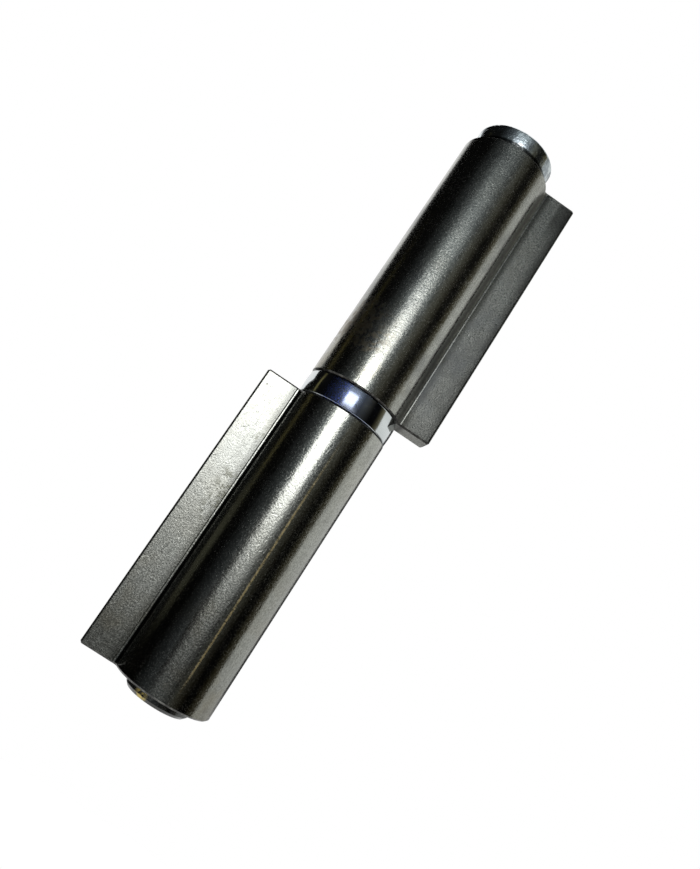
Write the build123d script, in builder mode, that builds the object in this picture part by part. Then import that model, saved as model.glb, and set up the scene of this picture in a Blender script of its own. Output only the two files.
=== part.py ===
"""Weld-on hinge: two leaves of drawn steel section that turn on a headed pin, with a thrust ring between.

The pin stands upright on +Z, with its foot at the origin. The lower leaf's wing points to -X and the
upper leaf's wing to +X, as in a hinge that is laid open flat. All sizes are in millimetres.
"""

from build123d import *
from math import sqrt
import os

# Leaf: a drawn bar with a round barrel and a flat wing in one piece
barrel_diameter = 20.0
leaf_length = 60.0
wing_width = 7.0  # how far the wing stands out of the barrel
wing_thickness = 6.0
root_radius = 0.75  # round hollow where the wing's faces run into the barrel
root_undercut = 0.06  # how deep that hollow cuts into the wing's faces, which leaves a drawn line
wing_edge_radius = 0.5
leaf_end_break = 0.35

# Pin: a headed bolt that is put in from above
pin_diameter = 13.0
head_diameter = 17.7
head_height = 4.5
head_flare = 0.5  # how far the head's upset flank draws in towards its foot
head_edge_radius = 0.6
head_foot_radius = 0.3
tail_length = 2.0  # what stands out under the lower leaf
tail_chamfer = 0.6

# Ring: it carries the upper leaf on the lower one
ring_height = 4.9
ring_crown = 0.12  # how far its polished face swells at half height
ring_edge_radius = 0.35

# Fits and bore mouths
seat_clearance = 0.02  # pin in the lower leaf, which holds it
running_clearance = 0.06  # pin in the upper leaf, which turns on it
ring_clearance = 0.15  # pin in the ring
thrust_gap = 0.1  # ring to upper leaf
head_gap = 0.1  # upper leaf to pin head
bore_chamfer = 0.5

# Places that follow from the sizes
barrel_radius = barrel_diameter / 2
pin_radius = pin_diameter / 2
wing_reach = barrel_radius + wing_width
wing_face = wing_thickness / 2
lower_leaf_foot = tail_length
ring_foot = lower_leaf_foot + leaf_length
upper_leaf_foot = ring_foot + ring_height + thrust_gap
head_foot = upper_leaf_foot + leaf_length + head_gap

# Root hollow: a circle that touches the barrel and dips into the wing's face
hollow_height = wing_face + root_radius - root_undercut
hollow_reach = sqrt((barrel_radius + root_radius) ** 2 - hollow_height**2)
touch_share = barrel_radius / (barrel_radius + root_radius)
ridge_reach = hollow_reach + sqrt(root_radius**2 - (root_radius - root_undercut) ** 2)


def drawn_leaf(foot, side, clearance):
    """One leaf that stands at the height foot, with its wing towards side and a bore for the pin."""
    weld_edge = (side * wing_reach, 0)
    with BuildPart() as leaf:
        with BuildSketch(Plane.XY.offset(foot)) as section:
            with BuildLine():
                ends = []
                for face in (1, -1):
                    touch = (side * touch_share * hollow_reach, face * touch_share * hollow_height)
                    bottom = (side * hollow_reach, face * (wing_face - root_undercut))
                    ridge = (side * ridge_reach, face * wing_face)
                    ThreePointArc(touch, bottom, ridge)
                    Line(ridge, (side * wing_reach, face * wing_face))
                    ends.append(touch)
                ThreePointArc(ends[0], (-side * barrel_radius, 0), ends[1])
                Line((side * wing_reach, wing_face), (side * wing_reach, -wing_face))
            make_face()
            # The two corners of the weld edge are the vertices nearest to its middle.
            fillet(section.vertices().sort_by_distance(weld_edge)[:2], wing_edge_radius)
            Circle(pin_radius + clearance, mode=Mode.SUBTRACT)
        extrude(amount=leaf_length)
        rims = [face.outer_wire().edges() for face in leaf.faces().filter_by(Axis.Z)]
        chamfer([edge for rim in rims for edge in rim], leaf_end_break)
        mouths = [face.inner_wires()[0].edges() for face in leaf.faces().filter_by(Axis.Z)]
        chamfer([edge for mouth in mouths for edge in mouth], bore_chamfer)
    return leaf


lower_leaf = drawn_leaf(lower_leaf_foot, -1, seat_clearance)
upper_leaf = drawn_leaf(upper_leaf_foot, 1, running_clearance)

# Thrust ring, turned: its face is a little crowned, its outer edges rounded and the bore's edges broken
ring_bore_radius = pin_radius + ring_clearance
ring_top = ring_foot + ring_height
ring_rim_radius = barrel_radius - ring_crown
with BuildPart() as thrust_ring:
    with BuildSketch(Plane.XZ) as ring_section:
        with BuildLine():
            lower_rim, upper_rim = (ring_rim_radius, ring_foot), (ring_rim_radius, ring_top)
            ThreePointArc(lower_rim, (barrel_radius, (ring_foot + ring_top) / 2), upper_rim)
            Polyline(upper_rim, (ring_bore_radius, ring_top), (ring_bore_radius, ring_foot), lower_rim)
        make_face()
        fillet(ring_section.vertices().group_by(Axis.X)[-1], ring_edge_radius)
        chamfer(ring_section.vertices().group_by(Axis.X)[0], ring_edge_radius)
    revolve(axis=Axis.Z)

# Hinge pin, headed and turned: the head flares to its rounded top edge, and the tail has a lead-in chamfer
head_top = head_foot + head_height
with BuildPart() as hinge_pin:
    with BuildSketch(Plane.XZ) as pin_section:
        Rectangle(pin_radius, head_foot, align=(Align.MIN, Align.MIN))
        chamfer(pin_section.vertices().group_by(Axis.X)[-1].sort_by(Axis.Y)[0], tail_chamfer)
        with BuildSketch(Plane.XZ, mode=Mode.PRIVATE) as head_section:
            with BuildLine():
                top_rim = (head_diameter / 2, head_top)
                foot_rim = (head_diameter / 2 - head_flare, head_foot)
                TangentArc(top_rim, foot_rim, tangent=(0, -1))
                Polyline(foot_rim, (0, head_foot), (0, head_top), top_rim)
            make_face()
            lower_corner, upper_corner = head_section.vertices().sort_by(Axis.X)[-2:]
            fillet(upper_corner, head_edge_radius)
            fillet(lower_corner, head_foot_radius)
        add(head_section.sketch)
    revolve(axis=Axis.Z)

os.makedirs("parts", exist_ok=True)

lower_leaf.part.label = "lower_leaf"
export_step(lower_leaf.part, "parts/lower_leaf.step")
upper_leaf.part.label = "upper_leaf"
export_step(upper_leaf.part, "parts/upper_leaf.step")
thrust_ring.part.label = "thrust_ring"
export_step(thrust_ring.part, "parts/thrust_ring.step")
hinge_pin.part.label = "hinge_pin"
export_step(hinge_pin.part, "parts/hinge_pin.step")
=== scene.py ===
"""Looks of a weld-on hinge: bare drawn steel leaves, a polished ring and a zinc-plated pin."""

import math
from types import SimpleNamespace

import bpy
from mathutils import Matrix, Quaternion, Vector


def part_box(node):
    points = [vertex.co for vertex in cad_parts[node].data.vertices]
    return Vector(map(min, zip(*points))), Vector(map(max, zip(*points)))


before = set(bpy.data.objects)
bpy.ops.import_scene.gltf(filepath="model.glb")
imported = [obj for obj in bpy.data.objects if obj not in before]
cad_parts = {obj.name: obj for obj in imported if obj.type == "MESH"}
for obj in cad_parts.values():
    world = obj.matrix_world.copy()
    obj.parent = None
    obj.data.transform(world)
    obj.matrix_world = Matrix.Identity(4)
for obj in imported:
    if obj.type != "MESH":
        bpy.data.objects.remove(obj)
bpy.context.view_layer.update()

MM = 0.001
MICRON = 0.000001
ROUND_STEPS = 96

# Camera, from the photograph: a short lens close by, turned so that the pin's head leans to the right
CAMERA_PLACE = Vector((-6.71, -148.0, 29.74)) * MM
CAMERA_AIM = Vector((3.16, 0.0, 60.64)) * MM
CAMERA_ROLL = math.radians(33.17)
CAMERA_NEAR = 5 * MM
FOCAL_PIXELS = 771.05
PICTURE_LONG_SIDE = 869
SENSOR = 36.0

# Studio, around the middle of the hinge; azimuth 0 is the camera's side and +90 is the upper leaf's side
MIDDLE = Vector((0.0, 0.0, 64.5)) * MM
LAMP_DISTANCE = 1.1
LAMP_AZIMUTH = -8.0
LAMP_ELEVATION = 12.6
LAMP_HALF_WIDTH = 12.5
LAMP_HALF_HEIGHT = 8.3
LAMP_RADIANCE = 4.2
FLOOR_DROP = 0.09
FLOOR_RADIUS = 0.20
FLOOR_LIT = 0.45  # the share of the floor's white that comes from the studio's light

# Leaves: each node, the side of its wing, its roughness, and how much mill scale is left on it
LEAVES = (("lower_leaf", -1.0, 0.165, 0.0), ("upper_leaf", 1.0, 0.19, 1.0))

# Places on a leaf: reach is from the pin's axis towards the wing, height is from the leaf's foot, and tilt
# is how far a face looks up or down. Two numbers are the ends of a fade. Four are a band: where it starts,
# is full, is last full and ends.
BARREL_RADIUS = 10 * MM
WING_RADII = (10.3 * MM, 11.0 * MM)
BREAK_TILT = (0.40, 0.60, 0.80, 0.95)
END_TILT = (0.85, 0.97)
HOLLOW_REACH = (8.2 * MM, 8.6 * MM, 9.9 * MM, 10.1 * MM)
# Reaches of painted shade in the root hollow, inside and outside its line, and of the line that painted
# shade dims
INNER_ROOT_SHADE_REACH = (8.9 * MM, 9.3 * MM, 9.8 * MM, 9.95 * MM)
ROOT_LINE_REACH = (9.9 * MM, 10.0 * MM, 10.25 * MM, 10.4 * MM)
OUTER_ROOT_SHADE_REACH = (10.2 * MM, 10.35 * MM, 10.5 * MM, 11.9 * MM)
SPOTTED_REACH = (11.6 * MM, 14.6 * MM)
TIP_REACH = (12.8 * MM, 14.2 * MM)
SCALE_REACH = (13.4 * MM, 16.6 * MM)
RIM_REACH = (14.6 * MM, 16.8 * MM)
SCALE_HEIGHT = (0.0, 60 * MM)
# Painted shade towards the foot of the bare wing
FOOT_SHADE_HEIGHT = (1 * MM, 13 * MM)
BROWN_HEIGHT = (4 * MM, 26 * MM)
GLOSSY_HEIGHT = (4 * MM, 26 * MM)
SPOTTED_HEIGHT = (24 * MM, 33 * MM, 45 * MM, 53 * MM)
TIP_HEIGHT = (44 * MM, 56 * MM)
# A line of painted yellow reflection on the front of the bare leaf
GOLD_LINE_START = (1 * MM, 9 * MM)
GOLD_LINE_STOP = (36 * MM, 60 * MM)
GOLD_LINE_LEAN_HEIGHT = (6 * MM, 46 * MM)
GOLD_LINE_AZIMUTH = (13.2, 11.4)  # at the two heights of its lean
GOLD_LINE_HALF_WIDTH = 2.1
STAIN_AZIMUTH = -46.0
STAIN_HEIGHT = 11 * MM
STAIN_RADII = (3 * MM, 9 * MM)
STAIN_RAGGED = 4 * MM
LEAF_RELIEF = 17 * MICRON

# Colours of the steel and of what is on it, and of painted shade, painted glints and a painted reflection
STEEL_DARK = (0.29, 0.294, 0.27)
STEEL_LIGHT = (0.475, 0.48, 0.445)
DRAWN_LINE = (0.20, 0.198, 0.185)
FOOT_BROWN = (0.33, 0.29, 0.20)
BLOTCH = (0.15, 0.146, 0.13)
SCALE_DARK = (0.070, 0.071, 0.066)
SCALE_LIGHT = (0.135, 0.136, 0.126)
SCALE_RIM = (0.03, 0.03, 0.028)
# Painted shade in the root hollow, and on its dimmed line
ROOT_SHADE = (0.04, 0.04, 0.034)
ROOT_LINE_SHADE = (0.06, 0.06, 0.054)
TARNISH = (0.13, 0.137, 0.142)
SPOTS = (0.10, 0.10, 0.075)
# Painted shade at the foot of the bare wing
FOOT_SHADE = (0.09, 0.088, 0.075)
STAIN = (0.26, 0.20, 0.115)
# Painted shade on the edge breaks at the leaves' ends, by the gaps between parts
CHAMFER_SHADE = (0.035, 0.034, 0.032)
PIT = (0.07, 0.065, 0.055)
# Painted glints: light specks that stand in for facets catching the lamp
PAINTED_GLINT = (0.85, 0.86, 0.84)
# Painted yellow reflection
PAINTED_GOLD_REFLECTION = (0.86, 0.69, 0.36)

# Ring
RING_DARK = (0.64, 0.68, 0.69)
RING_LIGHT = (0.70, 0.73, 0.74)
# Painted sheen on the ring's front, where the lamp is mirrored: a bluish temper tint and blue specks
TEMPER_SHEEN = (0.25, 0.28, 0.34)
BLUE_SHEEN_SPECK = (0.09, 0.14, 0.56)
SHEEN_AZIMUTH = -4.0
SHEEN_HALF_WIDTHS = (26.0, 40.0)
SPECK_AZIMUTHS = (-14.0, -9.0)
RING_CROWN = 50 * MICRON
RING_TURNING = 0.6 * MICRON

# Pin
HEAD_HEIGHT = 4.5 * MM
# Painted shade at the head's seat, where it meets the leaf: its heights above the seat
SEAT_SHADE_HEIGHTS = (1.15 * MM, 1.6 * MM)
FOOT_HEIGHT = (2.2 * MM, 3.0 * MM)
# Painted yellow reflection of a warm light on the pin's foot
WARM_REFLECTION_PLACE = Vector((-3.1, -5.8, 0.9)) * MM
WARM_REFLECTION_RADII = (0.7 * MM, 1.8 * MM)
ZINC_DULL = (0.36, 0.40, 0.43)
ZINC_BRIGHT = (0.74, 0.80, 0.82)
ZINC_TOP = (0.56, 0.60, 0.62)
SEAT_SHADE = (0.03, 0.03, 0.028)
ZINC_FOOT = (0.15, 0.152, 0.15)
# Painted shade on the pin's faces that look down
UNDERSIDE_SHADE = (0.05, 0.05, 0.048)
# Painted warm reflection
WARM_REFLECTION = (0.50, 0.40, 0.13)
ZINC_RELIEF = 60 * MICRON

# Walls: where two of them overlap, the one with the smaller radius is mirrored
WALL_RADIUS = 1.2
GOLD_RADIUS = 1.19
OLIVE_RADIUS = 1.18
GLOW_RADIUS = 1.17
BOUNCE_RADIUS = 1.15

# A wall's edges are rows of elevation, first azimuth and last azimuth. Its turns are an azimuth and its
# colour, its levels an azimuth and its brightness, and its rises an elevation and its brightness.
BLACK = (0.004, 0.004, 0.004)
FRONT_EDGES = (
    (-40.0, -150.0, 86.0),
    (-10.0, -150.0, 84.0),
    (4.0, -148.0, 83.0),
    (10.0, -136.0, 82.0),
    (14.0, -122.0, 81.0),
    (30.0, -140.0, 82.0),
    (68.0, -150.0, 84.0),
)
FRONT_TURNS = (
    (-150.0, BLACK),
    (-66.0, BLACK),
    (-45.0, (0.045, 0.051, 0.054)),
    (-35.0, (0.10, 0.112, 0.118)),
    (-28.0, (0.145, 0.163, 0.170)),
    (-16.0, (0.185, 0.208, 0.217)),
    (5.0, (0.185, 0.208, 0.217)),
    (16.0, (0.17, 0.183, 0.182)),
    (28.0, (0.145, 0.146, 0.123)),
    (38.0, (0.07, 0.067, 0.05)),
    (46.0, (0.018, 0.016, 0.011)),
    (50.0, BLACK),
    (64.0, BLACK),
    (70.0, (0.05, 0.044, 0.022)),
    (79.0, (0.15, 0.138, 0.094)),
    (90.0, (0.175, 0.163, 0.106)),
)
FRONT_RISES = (
    (-40.0, 0.15),
    (-14.0, 0.42),
    (-4.0, 0.55),
    (8.0, 0.75),
    (16.0, 1.0),
    (26.0, 1.0),
    (40.0, 0.7),
    (68.0, 0.2),
)
SIDE_EDGES = (
    (-40.0, 86.0, 141.0),
    (-10.0, 84.0, 141.0),
    (14.0, 81.0, 141.0),
    (30.0, 82.0, 141.0),
    (68.0, 84.0, 141.0),
)
SIDE_TURNS = ((80.0, (0.93, 0.95, 0.92)), (141.0, (0.97, 0.98, 0.97)))
SIDE_RISES = ((-40.0, 0.4), (-12.0, 0.58), (14.0, 0.92), (30.0, 0.72), (68.0, 0.72))
BACK_ENDS = (141.0, 185.0)
BACK_COLOUR = (0.9, 0.9, 0.9)
BACK_RISES = ((-50.0, 1.0), (-16.0, 0.8), (-11.0, 0.07), (24.0, 0.07), (40.0, 0.6), (68.0, 1.0))
BOUNCE_ENDS = (-180.0, 180.0)
BOUNCE_COLOUR = (0.75, 0.76, 0.75)
BOUNCE_RISES = ((-50.0, 1.0), (-36.0, 0.6), (-27.0, 0.2), (-21.0, 0.02))
HIGH_GLOW_COLOUR = (0.94, 1.05, 1.10)
HIGH_GLOW_LEVELS = (
    (-36.0, 0.12),
    (-26.0, 0.70),
    (-20.0, 0.9),
    (-14.0, 0.95),
    (-1.0, 0.95),
    (5.0, 0.8),
    (12.0, 0.5),
    (20.0, 0.12),
)
HIGH_GLOW_RISES = (
    (6.0, 0.35),
    (13.0, 0.68),
    (18.0, 0.65),
    (25.0, 0.58),
    (29.0, 0.50),
    (33.0, 0.25),
    (38.0, 0.06),
)
LOW_GLOW_COLOUR = (1.0, 1.03, 1.02)
LOW_GLOW_LEVELS = (
    (-31.0, 0.0),
    (-24.0, 0.25),
    (-18.0, 0.80),
    (-12.0, 0.95),
    (-2.0, 0.95),
    (5.0, 0.8),
    (12.0, 0.5),
    (20.0, 0.0),
)
LOW_GLOW_RISES = ((-14.0, 0.12), (-7.0, 0.22), (-2.0, 0.70), (2.0, 0.98), (6.0, 0.6))
GOLD_ENDS = (-99.0, -93.5)
GOLD_COLOUR = (0.13, 0.115, 0.05)
GOLD_RISES = ((-8.0, 0.5), (4.0, 1.0), (18.0, 1.0), (25.0, 0.2))
OLIVE_ENDS = (-111.0, -90.0)
OLIVE_COLOUR = (0.07, 0.07, 0.05)
OLIVE_RISES = ((-9.0, 0.3), (-5.0, 1.0), (1.0, 1.0), (5.0, 0.1))


def add(tree, kind, inputs=None, **settings):
    """A new node with its settings, and its inputs given as values or as sockets to link."""
    node = tree.nodes.new(kind)
    for name, value in settings.items():
        setattr(node, name, value)
    for name, value in (inputs or {}).items():
        if isinstance(value, bpy.types.NodeSocket):
            tree.links.new(value, node.inputs[name])
        else:
            node.inputs[name].default_value = value
    return node


def calc(tree, operation, first, second=0.0, third=0.0):
    """One step of arithmetic on sockets or numbers."""
    return add(tree, "ShaderNodeMath", {0: first, 1: second, 2: third}, operation=operation).outputs[0]


def times(tree, product, *factors):
    """The product of sockets and numbers."""
    for factor in factors:
        product = calc(tree, "MULTIPLY", product, factor)
    return product


def highest(tree, value, *others):
    """The highest of several sockets and numbers."""
    for other in others:
        value = calc(tree, "MAXIMUM", value, other)
    return value


def fade(tree, value, low, high, at_low=0.0, at_high=1.0):
    """A smooth step of value, from at_low at low to at_high at high."""
    inputs = {"Value": value, "From Min": low, "From Max": high, "To Min": at_low, "To Max": at_high}
    return add(tree, "ShaderNodeMapRange", inputs, interpolation_type="SMOOTHSTEP").outputs["Result"]


def band(tree, value, start, full, last_full, end):
    """1 where value is from full to last_full, and 0 before start and after end."""
    return times(tree, fade(tree, value, start, full), fade(tree, value, last_full, end, 1.0, 0.0))


def tint(tree, share, first, second):
    """Two colours mixed by share."""
    mixer = add(tree, "ShaderNodeMix", {0: share}, data_type="RGBA")
    for index, colour in ((6, first), (7, second)):
        if isinstance(colour, bpy.types.NodeSocket):
            tree.links.new(colour, mixer.inputs[index])
        else:
            mixer.inputs[index].default_value = (*colour, 1)
    return mixer.outputs[2]


def noise(tree, place, scale, detail=2.0, roughness=0.5):
    """Noise from 0 to 1 at so many cells to the metre."""
    inputs = {"Vector": place, "Scale": scale, "Detail": detail, "Roughness": roughness}
    return add(tree, "ShaderNodeTexNoise", inputs).outputs["Fac"]


def speckle(tree, place, scale, radius, share):
    """Small round marks: 1 inside a mark and 0 elsewhere, in that share of the cells."""
    cells = add(tree, "ShaderNodeTexVoronoi", {"Vector": place, "Scale": scale})
    chosen = add(tree, "ShaderNodeSeparateColor", {0: cells.outputs["Color"]}).outputs[0]
    inside = fade(tree, cells.outputs["Distance"], radius * 0.6, radius, 1.0, 0.0)
    return times(tree, inside, calc(tree, "LESS_THAN", chosen, share))


def stretched(tree, place, scales):
    """The place, scaled along each axis."""
    return add(tree, "ShaderNodeMapping", {"Vector": place, "Scale": scales}).outputs["Vector"]


def bumped(tree, height, distance, under=None):
    """A normal from a height, over another normal if there is one."""
    inputs = {"Height": height, "Distance": distance, "Strength": 1.0}
    if under is not None:
        inputs["Normal"] = under
    return add(tree, "ShaderNodeBump", inputs).outputs["Normal"]


def place_of(tree):
    """The place in the object's own axes, whole and split."""
    place = add(tree, "ShaderNodeTexCoord").outputs["Object"]
    return place, add(tree, "ShaderNodeSeparateXYZ", {0: place}).outputs


def upward_part(tree):
    """How far a face looks up: 1 is straight up and -1 is straight down."""
    normal = add(tree, "ShaderNodeNewGeometry").outputs["Normal"]
    return add(tree, "ShaderNodeSeparateXYZ", {0: normal}).outputs["Z"]


def azimuth_of(tree, axes):
    """The azimuth round the pin's axis in degrees, from the camera's side."""
    return calc(tree, "DEGREES", calc(tree, "ARCTAN2", axes["X"], times(tree, axes["Y"], -1.0)))


def distance_to(tree, place, centre):
    """How far the place is from a centre."""
    return add(tree, "ShaderNodeVectorMath", {0: place, 1: centre}, operation="DISTANCE").outputs["Value"]


def direction(azimuth, elevation):
    """A unit vector from the hinge, in degrees from the camera's side and above the horizon."""
    a = math.radians(azimuth)
    e = math.radians(elevation)
    return Vector((math.sin(a) * math.cos(e), -math.cos(a) * math.cos(e), math.sin(e)))


def metal(name):
    """A new material, its node tree and its metallic shader."""
    material = bpy.data.materials.new(name)
    material.use_nodes = True
    shader = material.node_tree.nodes["Principled BSDF"]
    shader.inputs["Metallic"].default_value = 1.0
    return material, material.node_tree, shader


def join(tree, shader, colour, rough, normal):
    """Links a metal's colour, roughness and normal to its shader."""
    tree.links.new(colour, shader.inputs["Base Color"])
    tree.links.new(rough, shader.inputs["Roughness"])
    tree.links.new(normal, shader.inputs["Normal"])


def leaf_places(tree, foot, side, scaled):
    """Where a point lies on a leaf that stands at the height foot with its wing towards side."""
    place, axes = place_of(tree)
    flat = add(tree, "ShaderNodeCombineXYZ", {"X": axes["X"], "Y": axes["Y"]}).outputs[0]
    radius = add(tree, "ShaderNodeVectorMath", {0: flat}, operation="LENGTH").outputs["Value"]
    tilt = calc(tree, "ABSOLUTE", upward_part(tree))
    return SimpleNamespace(
        foot=foot,
        scaled=scaled,
        place=place,
        azimuth=azimuth_of(tree, axes),
        reach=times(tree, axes["X"], side),
        height=calc(tree, "SUBTRACT", axes["Z"], foot),
        on_wing=fade(tree, radius, *WING_RADII),
        on_break=band(tree, tilt, *BREAK_TILT),
        on_end=fade(tree, tilt, *END_TILT),
    )


def add_marks(tree, leaf):
    """Gives a leaf its noises, from fine to coarse, and its small round marks."""
    place = leaf.place
    leaf.sparkle = fade(tree, noise(tree, place, 4200.0, 1.0), 0.52, 0.68)
    leaf.lines = noise(tree, stretched(tree, place, (3600.0, 3600.0, 70.0)), 1.0, 2.0)
    leaf.grain = noise(tree, place, 3000.0, 2.0, 0.55)
    leaf.mottle = noise(tree, place, 1500.0, 4.0, 0.6)
    leaf.dents = fade(tree, noise(tree, stretched(tree, place, (1.0, 1.0, 0.6)), 1150.0, 1.0), 0.62, 0.74)
    leaf.coarse = noise(tree, place, 950.0, 3.0, 0.6)
    leaf.blotch = noise(tree, place, 170.0, 3.0, 0.55)
    leaf.clouds = noise(tree, stretched(tree, place, (1.0, 1.0, 0.55)), 130.0, 4.0, 0.6)
    leaf.patches = noise(tree, place, 110.0, 3.0, 0.6)
    leaf.pits = speckle(tree, place, 640.0, 0.14, 0.10)
    leaf.glints = speckle(tree, stretched(tree, place, (1.0, 1.0, 0.97)), 520.0, 0.13, 0.09)


def bare_steel(tree, leaf):
    """The steel itself: grain, drawn lines, brown towards the foot, and dark blotches."""
    colour = tint(tree, fade(tree, leaf.grain, 0.30, 0.70), STEEL_DARK, STEEL_LIGHT)
    colour = tint(tree, fade(tree, leaf.lines, 0.30, 0.45, 0.25, 0.0), colour, DRAWN_LINE)
    near_foot = fade(tree, leaf.height, *BROWN_HEIGHT, 1.0, 0.25)
    brown = times(tree, fade(tree, leaf.patches, 0.46, 0.66, 0.0, 0.40), near_foot)
    colour = tint(tree, brown, colour, FOOT_BROWN)
    dark = times(tree, fade(tree, leaf.blotch, 0.50, 0.72, 0.0, 0.30), fade(tree, leaf.coarse, 0.4, 0.6))
    return tint(tree, dark, colour, BLOTCH)


def mill_scale(tree, colour, leaf):
    """Mill scale left on the wing, most at its outer edge, its foot and its upper corner."""
    to_edge = fade(tree, leaf.reach, *SCALE_REACH, 0.35, 0.9)
    to_foot = fade(tree, leaf.height, *SCALE_HEIGHT, 0.95, 0.2)
    to_tip = times(tree, fade(tree, leaf.height, *TIP_HEIGHT), fade(tree, leaf.reach, *TIP_REACH))
    on_sides = calc(tree, "SUBTRACT", leaf.on_wing, leaf.on_end)
    scale = times(tree, highest(tree, to_edge, to_foot, to_tip), on_sides)
    scale = highest(tree, scale, 0.0)
    leaf.scale = times(tree, scale, fade(tree, leaf.blotch, 0.3, 0.6, 0.8, 1.0), leaf.scaled)
    scale_colour = tint(tree, fade(tree, leaf.grain, 0.35, 0.65), SCALE_DARK, SCALE_LIGHT)
    colour = tint(tree, leaf.scale, colour, scale_colour)
    rim = times(tree, fade(tree, leaf.reach, *RIM_REACH, 0.0, 0.6), leaf.scale)
    return tint(tree, rim, colour, SCALE_RIM)


def root_shade(tree, colour, leaf):
    """Painted shade in the root hollow beside its line: on both sides of a bare leaf's bright line.

    A scaled leaf has it on the wing's side only, and its line is dimmed with painted shade.
    """
    inner = times(tree, band(tree, leaf.reach, *INNER_ROOT_SHADE_REACH), 0.9 - 0.9 * leaf.scaled)
    outer = times(tree, band(tree, leaf.reach, *OUTER_ROOT_SHADE_REACH), 0.5 + 0.3 * leaf.scaled)
    colour = tint(tree, highest(tree, inner, outer), colour, ROOT_SHADE)
    line = times(tree, band(tree, leaf.reach, *ROOT_LINE_REACH), 0.55 * leaf.scaled)
    return tint(tree, line, colour, ROOT_LINE_SHADE)


def tarnish(tree, colour, leaf):
    """Dark clouds, most on the scaled leaf, and a spotted patch by the root of the bare wing."""
    leaf.cloudy = times(tree, fade(tree, leaf.clouds, 0.48, 0.66, 0.0, 0.45), 0.35 + 0.65 * leaf.scaled)
    colour = tint(tree, leaf.cloudy, colour, TARNISH)
    spots = fade(tree, leaf.mottle, 0.50, 0.58)
    patch = band(tree, leaf.height, *SPOTTED_HEIGHT)
    patch = times(tree, patch, fade(tree, leaf.reach, *SPOTTED_REACH, 0.75, 0.0))
    patch = times(tree, patch, times(tree, leaf.on_wing, 1.0 - leaf.scaled))
    patch = times(tree, patch, fade(tree, leaf.patches, 0.40, 0.55))
    return tint(tree, times(tree, spots, patch), colour, SPOTS)


def foot_shade(tree, colour, leaf):
    """Painted shade, darker towards the foot of the bare wing."""
    painted_shade = times(tree, fade(tree, leaf.height, *FOOT_SHADE_HEIGHT, 0.6 - 0.6 * leaf.scaled, 0.0), leaf.on_wing)
    painted_shade = times(tree, painted_shade, fade(tree, leaf.mottle, 0.36, 0.60, 0.4, 1.0))
    return tint(tree, painted_shade, colour, FOOT_SHADE)


def brown_stain(tree, colour, leaf):
    """A ragged brown stain low on the front of the scaled leaf's barrel."""
    centre = direction(STAIN_AZIMUTH, 0.0) * BARREL_RADIUS + Vector((0, 0, leaf.foot + STAIN_HEIGHT))
    ragged = fade(tree, leaf.patches, 0.3, 0.7, -STAIN_RAGGED, STAIN_RAGGED)
    away = calc(tree, "ADD", distance_to(tree, leaf.place, centre), ragged)
    broken = fade(tree, leaf.coarse, 0.40, 0.60, 0.1, 1.0)
    leaf.stain = times(tree, fade(tree, away, *STAIN_RADII, 0.6, 0.0), broken, leaf.scaled)
    return tint(tree, leaf.stain, colour, STAIN)


def small_marks(tree, colour, leaf):
    """Painted shade on the edge breaks, dark pits, and painted glints, light specks where there is scale."""
    # Painted shade: the edge breaks are darkened as if shaded by the gaps between the parts
    break_shade = times(tree, leaf.on_break, fade(tree, leaf.coarse, 0.45, 0.65, 0.98, 0.7))
    colour = tint(tree, break_shade, colour, CHAMFER_SHADE)
    colour = tint(tree, times(tree, leaf.pits, 0.6), colour, PIT)
    # Painted glints: light specks in the scale, which are also raised in the relief
    leaf.glints = times(tree, leaf.glints, leaf.scale)
    return tint(tree, leaf.glints, colour, PAINTED_GLINT)


def rub_line(tree, colour, leaf):
    """A line of painted yellow reflection, along the front of the leaf that has no scale."""
    middle = fade(tree, leaf.height, *GOLD_LINE_LEAN_HEIGHT, *GOLD_LINE_AZIMUTH)
    aside = calc(tree, "ABSOLUTE", calc(tree, "SUBTRACT", leaf.azimuth, middle))
    rub = fade(tree, aside, 0.0, GOLD_LINE_HALF_WIDTH, 0.95, 0.0)
    rub = times(tree, rub, fade(tree, leaf.height, *GOLD_LINE_START), fade(tree, leaf.height, *GOLD_LINE_STOP, 1.0, 0.0))
    leaf.rub = times(tree, rub, fade(tree, leaf.mottle, 0.35, 0.5, 0.6, 1.0), 1.0 - leaf.scaled)
    return tint(tree, leaf.rub, colour, PAINTED_GOLD_REFLECTION)


def leaf_roughness(tree, leaf, dull):
    """A leaf's roughness: about dull, less at the foot of a bare barrel and more on most marks."""
    rough = fade(tree, leaf.blotch, 0.3, 0.7, dull - 0.02, dull + 0.02)
    rough = calc(tree, "ADD", rough, fade(tree, leaf.grain, 0.3, 0.7, -0.05, 0.05))
    on_barrel = calc(tree, "SUBTRACT", 1.0, leaf.on_wing)
    glossy = times(tree, fade(tree, leaf.height, *GLOSSY_HEIGHT, 1.0 - leaf.scaled, 0.0), on_barrel)
    changes = (
        (leaf.sparkle, 0.07),
        (glossy, -0.05),
        (band(tree, leaf.reach, *HOLLOW_REACH), 0.24 * leaf.scaled),
        (leaf.on_wing, 0.055),
        (leaf.scale, 0.08),
        (leaf.cloudy, 0.05),
        (leaf.on_end, 0.16),
        (leaf.on_break, 0.12),
        (leaf.stain, 0.26),
        (leaf.rub, 0.24),
        (leaf.glints, 0.05),
    )
    for mask, change in changes:
        rough = calc(tree, "MULTIPLY_ADD", mask, change, rough)
    return rough


def leaf_normal(tree, leaf):
    """A leaf's fine relief: grain, pits and dents, a little flatter in the scale, and raised glints."""
    relief = calc(tree, "SUBTRACT", leaf.grain, times(tree, highest(tree, leaf.pits, leaf.dents), 0.5))
    relief = times(tree, relief, fade(tree, leaf.scale, 0.0, 0.9, 1.0, 0.8))
    relief = calc(tree, "MULTIPLY_ADD", leaf.glints, 1.6, relief)
    return bumped(tree, relief, LEAF_RELIEF)


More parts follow.
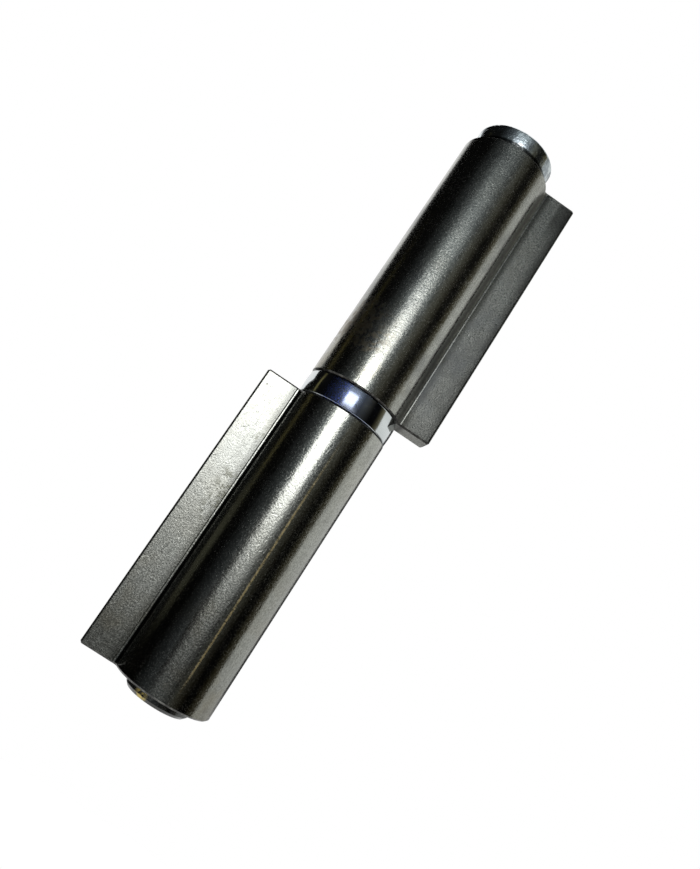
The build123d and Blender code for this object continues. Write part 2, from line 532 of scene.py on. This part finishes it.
def drawn_steel(name, foot, side, dull, scaled):
    """Bare cold-drawn steel for a leaf that stands at the height foot with its wing towards side.

    Scaled says how far dark mill scale and a brown stain are left on the leaf, from 0 to 1.
    """
    material, tree, shader = metal(name)
    leaf = leaf_places(tree, foot, side, scaled)
    add_marks(tree, leaf)
    colour = bare_steel(tree, leaf)
    # Some of these layers paint light: shade in the root hollow, shade at the bare wing's foot, shade on the
    # edge breaks, glints and a yellow reflection line
    for layer in (mill_scale, root_shade, tarnish, foot_shade, brown_stain, small_marks, rub_line):
        colour = layer(tree, colour, leaf)
    join(tree, shader, colour, leaf_roughness(tree, leaf, dull), leaf_normal(tree, leaf))
    return material


def polished_ring(name, middle, half):
    """Polished steel with fine turning marks and, on its front where the lamp is mirrored, a painted sheen:
    a bluish temper tint with tiny blue specks.

    Middle is the height of the ring's middle and half is half of its own height, for the crown of its face.
    """
    material, tree, shader = metal(name)
    place, axes = place_of(tree)
    turning = noise(tree, stretched(tree, place, (60.0, 60.0, 9000.0)), 1.0, 2.0)
    haze = noise(tree, place, 420.0, 3.0, 0.6)
    azimuth = azimuth_of(tree, axes)
    aside = calc(tree, "ABSOLUTE", calc(tree, "ADD", azimuth, -SHEEN_AZIMUTH))
    on_front = fade(tree, aside, *SHEEN_HALF_WIDTHS, 1.0, 0.0)
    # Painted sheen: the temper tint and its blue specks lie only on the front, round the lamp's reflection
    temper_sheen = times(tree, on_front, fade(tree, haze, 0.3, 0.5, 0.8, 1.0))
    specks = times(tree, fade(tree, noise(tree, place, 7000.0, 1.0), 0.48, 0.62), temper_sheen)
    specks = times(tree, specks, fade(tree, azimuth, *SPECK_AZIMUTHS, 1.0, 0.2))
    colour = tint(tree, turning, RING_DARK, RING_LIGHT)
    colour = tint(tree, temper_sheen, colour, TEMPER_SHEEN)
    colour = tint(tree, specks, colour, BLUE_SHEEN_SPECK)
    rough = calc(tree, "MULTIPLY_ADD", specks, 0.26, fade(tree, haze, 0.35, 0.7, 0.09, 0.14))
    along = calc(tree, "DIVIDE", calc(tree, "SUBTRACT", axes["Z"], middle), half)
    crowned = bumped(tree, times(tree, along, along, -1.0), RING_CROWN)
    join(tree, shader, colour, rough, bumped(tree, turning, RING_TURNING, crowned))
    return material


def zinc_plate(name, foot, seat):
    """Bright zinc plate with dull spangles, painted shade at the head's seat and on faces that look down,
    and dark at the pin's foot.

    The foot has a painted yellow reflection of a warm light.
    """
    material, tree, shader = metal(name)
    place, axes = place_of(tree)
    upward = upward_part(tree)
    height = calc(tree, "SUBTRACT", axes["Z"], foot)
    lumps = noise(tree, place, 1100.0, 2.0, 0.55)
    spangle = noise(tree, place, 520.0, 3.0, 0.65)
    colour = tint(tree, fade(tree, spangle, 0.38, 0.62), ZINC_DULL, ZINC_BRIGHT)
    colour = tint(tree, fade(tree, upward, 0.6, 0.95, 0.0, 0.65), colour, ZINC_TOP)
    # Painted shade at the head's seat, by the gap to the leaf
    line_start, line_end = SEAT_SHADE_HEIGHTS
    seat_shade = fade(tree, axes["Z"], seat + line_start, seat + line_end, 1.0, 0.0)
    colour = tint(tree, times(tree, seat_shade, 0.93), colour, SEAT_SHADE)
    colour = tint(tree, fade(tree, height, *FOOT_HEIGHT, 0.9, 0.0), colour, ZINC_FOOT)
    # Painted shade on faces that look down
    colour = tint(tree, fade(tree, upward, -0.6, -0.45, 0.9, 0.0), colour, UNDERSIDE_SHADE)
    # Painted reflection: a yellow patch of warm light on the pin's foot, rougher there
    away = distance_to(tree, place, WARM_REFLECTION_PLACE + Vector((0, 0, foot)))
    warm_reflection = times(tree, fade(tree, away, *WARM_REFLECTION_RADII, 1.0, 0.0), fade(tree, lumps, 0.42, 0.56))
    colour = tint(tree, warm_reflection, colour, WARM_REFLECTION)
    rough = calc(tree, "MULTIPLY_ADD", warm_reflection, 0.30, fade(tree, spangle, 0.35, 0.65, 0.28, 0.12))
    join(tree, shader, colour, rough, bumped(tree, lumps, ZINC_RELIEF))
    return material


def dress(node, material):
    """Gives a CAD node its material."""
    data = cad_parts[node].data
    data.materials.clear()
    data.materials.append(material)


def dress_hinge():
    """Dresses the four CAD nodes."""
    for leaf, side, dull, scaled in LEAVES:
        low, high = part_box(leaf)
        dress(leaf, drawn_steel(leaf + "_look", low.z, side, dull, scaled))
    low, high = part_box("thrust_ring")
    dress("thrust_ring", polished_ring("polished_ring_look", (low.z + high.z) / 2, (high.z - low.z) / 2))
    low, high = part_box("hinge_pin")
    dress("hinge_pin", zinc_plate("zinc_plate_look", low.z, high.z - HEAD_HEIGHT))


def mesh_object(name, points, faces, material):
    """A new mesh object in the scene."""
    data = bpy.data.meshes.new(name)
    data.from_pydata(points, [], faces)
    data.materials.append(material)
    piece = bpy.data.objects.new(name, data)
    bpy.context.scene.collection.objects.link(piece)
    return piece


def empty_material(name):
    """A new material without nodes, and its node tree."""
    material = bpy.data.materials.new(name)
    material.use_nodes = True
    material.node_tree.nodes.clear()
    return material, material.node_tree


def floor_material():
    """White paper that keeps a shadow: part lit, and part its own light for what looks at it."""
    material, tree = empty_material("white_floor")
    ray = add(tree, "ShaderNodeLightPath").outputs
    seen = highest(tree, ray["Is Camera Ray"], ray["Is Glossy Ray"], ray["Is Transmission Ray"])
    lit = add(tree, "ShaderNodeBsdfDiffuse", {"Color": (FLOOR_LIT, FLOOR_LIT, FLOOR_LIT, 1)}).outputs[0]
    own = add(tree, "ShaderNodeEmission", {"Strength": times(tree, seen, 1.0 - FLOOR_LIT)}).outputs[0]
    both = add(tree, "ShaderNodeAddShader", {0: lit, 1: own}).outputs[0]
    add(tree, "ShaderNodeOutputMaterial", {"Surface": both})
    return material


def floor():
    """A round white floor below the hinge."""
    angles = [2 * math.pi * k / ROUND_STEPS for k in range(ROUND_STEPS)]
    points = [(FLOOR_RADIUS * math.cos(a), FLOOR_RADIUS * math.sin(a), -FLOOR_DROP) for a in angles]
    piece = mesh_object("floor", points, [tuple(range(ROUND_STEPS))], floor_material())


def shaded(levels, colour):
    """Colour stops of one colour at several levels."""
    return [(at, tuple(level * part for part in colour)) for at, level in levels]


def ramp_of(tree, value, stops):
    """A colour ramp along value, with stops given in value's own units."""
    low = stops[0][0]
    high = stops[-1][0]
    share = add(tree, "ShaderNodeMapRange", {"Value": value, "From Min": low, "From Max": high}).outputs[0]
    ramp = add(tree, "ShaderNodeValToRGB", {0: share})
    elements = ramp.color_ramp.elements
    while len(elements) < len(stops):
        elements.new(0.5)
    for element, (at, colour) in zip(elements, stops):
        element.position = (at - low) / (high - low)
        element.color = (*colour, 1)
    return ramp.outputs[0]


def wall_material(name, turns, rises):
    """A dim studio wall for the metal to mirror, coloured by azimuth and dimmed by elevation."""
    material, tree = empty_material(name)
    axes = place_of(tree)[1]
    rise = calc(tree, "SUBTRACT", axes["Z"], MIDDLE.z)
    elevation = calc(tree, "DEGREES", calc(tree, "ARCTAN2", rise, WALL_RADIUS))
    colour = ramp_of(tree, azimuth_of(tree, axes), turns)
    level = ramp_of(tree, elevation, shaded(rises, (1.0, 1.0, 1.0)))
    glow = add(tree, "ShaderNodeEmission", {"Color": colour, "Strength": level}).outputs[0]
    add(tree, "ShaderNodeOutputMaterial", {"Surface": glow})
    return material


def wall(name, edges, turns, rises, radius=WALL_RADIUS):
    """A curved wall round part of the hinge that only mirrors see."""
    points = []
    for elevation, first, last in edges:
        height = MIDDLE.z + radius * math.tan(math.radians(elevation))
        for k in range(ROUND_STEPS + 1):
            a = math.radians(first + (last - first) * k / ROUND_STEPS)
            points.append((radius * math.sin(a), -radius * math.cos(a), height))
    row = ROUND_STEPS + 1
    faces = []
    for r in range(len(edges) - 1):
        for k in range(ROUND_STEPS):
            at = r * row + k
            faces.append((at, at + 1, at + row + 1, at + row))
    piece = mesh_object(name, points, faces, wall_material(name, turns, rises))
    piece.visible_camera = False
    piece.visible_diffuse = False
    piece.visible_shadow = False


def upright_wall(name, turns, rises, radius):
    """A wall with upright ends, as long as its turns and as high as its rises."""
    ends = (turns[0][0], turns[-1][0])
    wall(name, [(rises[0][0], *ends), (rises[-1][0], *ends)], turns, rises, radius)


def even_wall(name, ends, colour, rises, radius=WALL_RADIUS):
    """An upright wall of one colour."""
    upright_wall(name, [(end, colour) for end in ends], rises, radius)


def studio_walls():
    """What the metal mirrors: three walls, the table, two glows round the lamp and two narrow strips."""
    wall("front_wall", FRONT_EDGES, FRONT_TURNS, FRONT_RISES)
    wall("side_wall", SIDE_EDGES, SIDE_TURNS, SIDE_RISES)
    even_wall("back_wall", BACK_ENDS, BACK_COLOUR, BACK_RISES)
    even_wall("table_bounce", BOUNCE_ENDS, BOUNCE_COLOUR, BOUNCE_RISES, BOUNCE_RADIUS)
    upright_wall("high_glow", shaded(HIGH_GLOW_LEVELS, HIGH_GLOW_COLOUR), HIGH_GLOW_RISES, GLOW_RADIUS)
    upright_wall("low_glow", shaded(LOW_GLOW_LEVELS, LOW_GLOW_COLOUR), LOW_GLOW_RISES, GLOW_RADIUS)
    even_wall("gold_strip", GOLD_ENDS, GOLD_COLOUR, GOLD_RISES, GOLD_RADIUS)
    even_wall("olive_strip", OLIVE_ENDS, OLIVE_COLOUR, OLIVE_RISES, OLIVE_RADIUS)


def lamp():
    """A soft strip lamp above and behind the camera."""
    data = bpy.data.lights.new("strip_lamp", "AREA")
    data.shape = "RECTANGLE"
    data.size = 2 * LAMP_DISTANCE * math.tan(math.radians(LAMP_HALF_WIDTH))
    data.size_y = 2 * LAMP_DISTANCE * math.tan(math.radians(LAMP_HALF_HEIGHT))
    data.energy = math.pi * data.size * data.size_y * LAMP_RADIANCE
    piece = bpy.data.objects.new("strip_lamp", data)
    towards = direction(LAMP_AZIMUTH, LAMP_ELEVATION)
    piece.location = MIDDLE + LAMP_DISTANCE * towards
    piece.rotation_mode = "QUATERNION"
    piece.rotation_quaternion = towards.to_track_quat("Z", "Y")
    piece.visible_camera = False
    bpy.context.scene.collection.objects.link(piece)


def white_world():
    """Even white light all round, at the plain level."""
    world = bpy.data.worlds.new("studio")
    world.use_nodes = True
    world.node_tree.nodes["Background"].inputs["Color"].default_value = (1, 1, 1, 1)
    bpy.context.scene.world = world


def studio_camera():
    """The camera that took the photograph."""
    data = bpy.data.cameras.new("camera")
    data.sensor_width = SENSOR
    data.lens = FOCAL_PIXELS * SENSOR / PICTURE_LONG_SIDE
    data.clip_start = CAMERA_NEAR
    piece = bpy.data.objects.new("camera", data)
    piece.location = CAMERA_PLACE
    piece.rotation_mode = "QUATERNION"
    towards = (CAMERA_AIM - CAMERA_PLACE).to_track_quat("-Z", "Y")
    piece.rotation_quaternion = towards @ Quaternion((0, 0, 1), CAMERA_ROLL)
    bpy.context.scene.collection.objects.link(piece)
    bpy.context.scene.camera = piece


dress_hinge()
studio_walls()
floor()
lamp()
white_world()
studio_camera()

bpy.context.scene.view_settings.view_transform = "Standard"
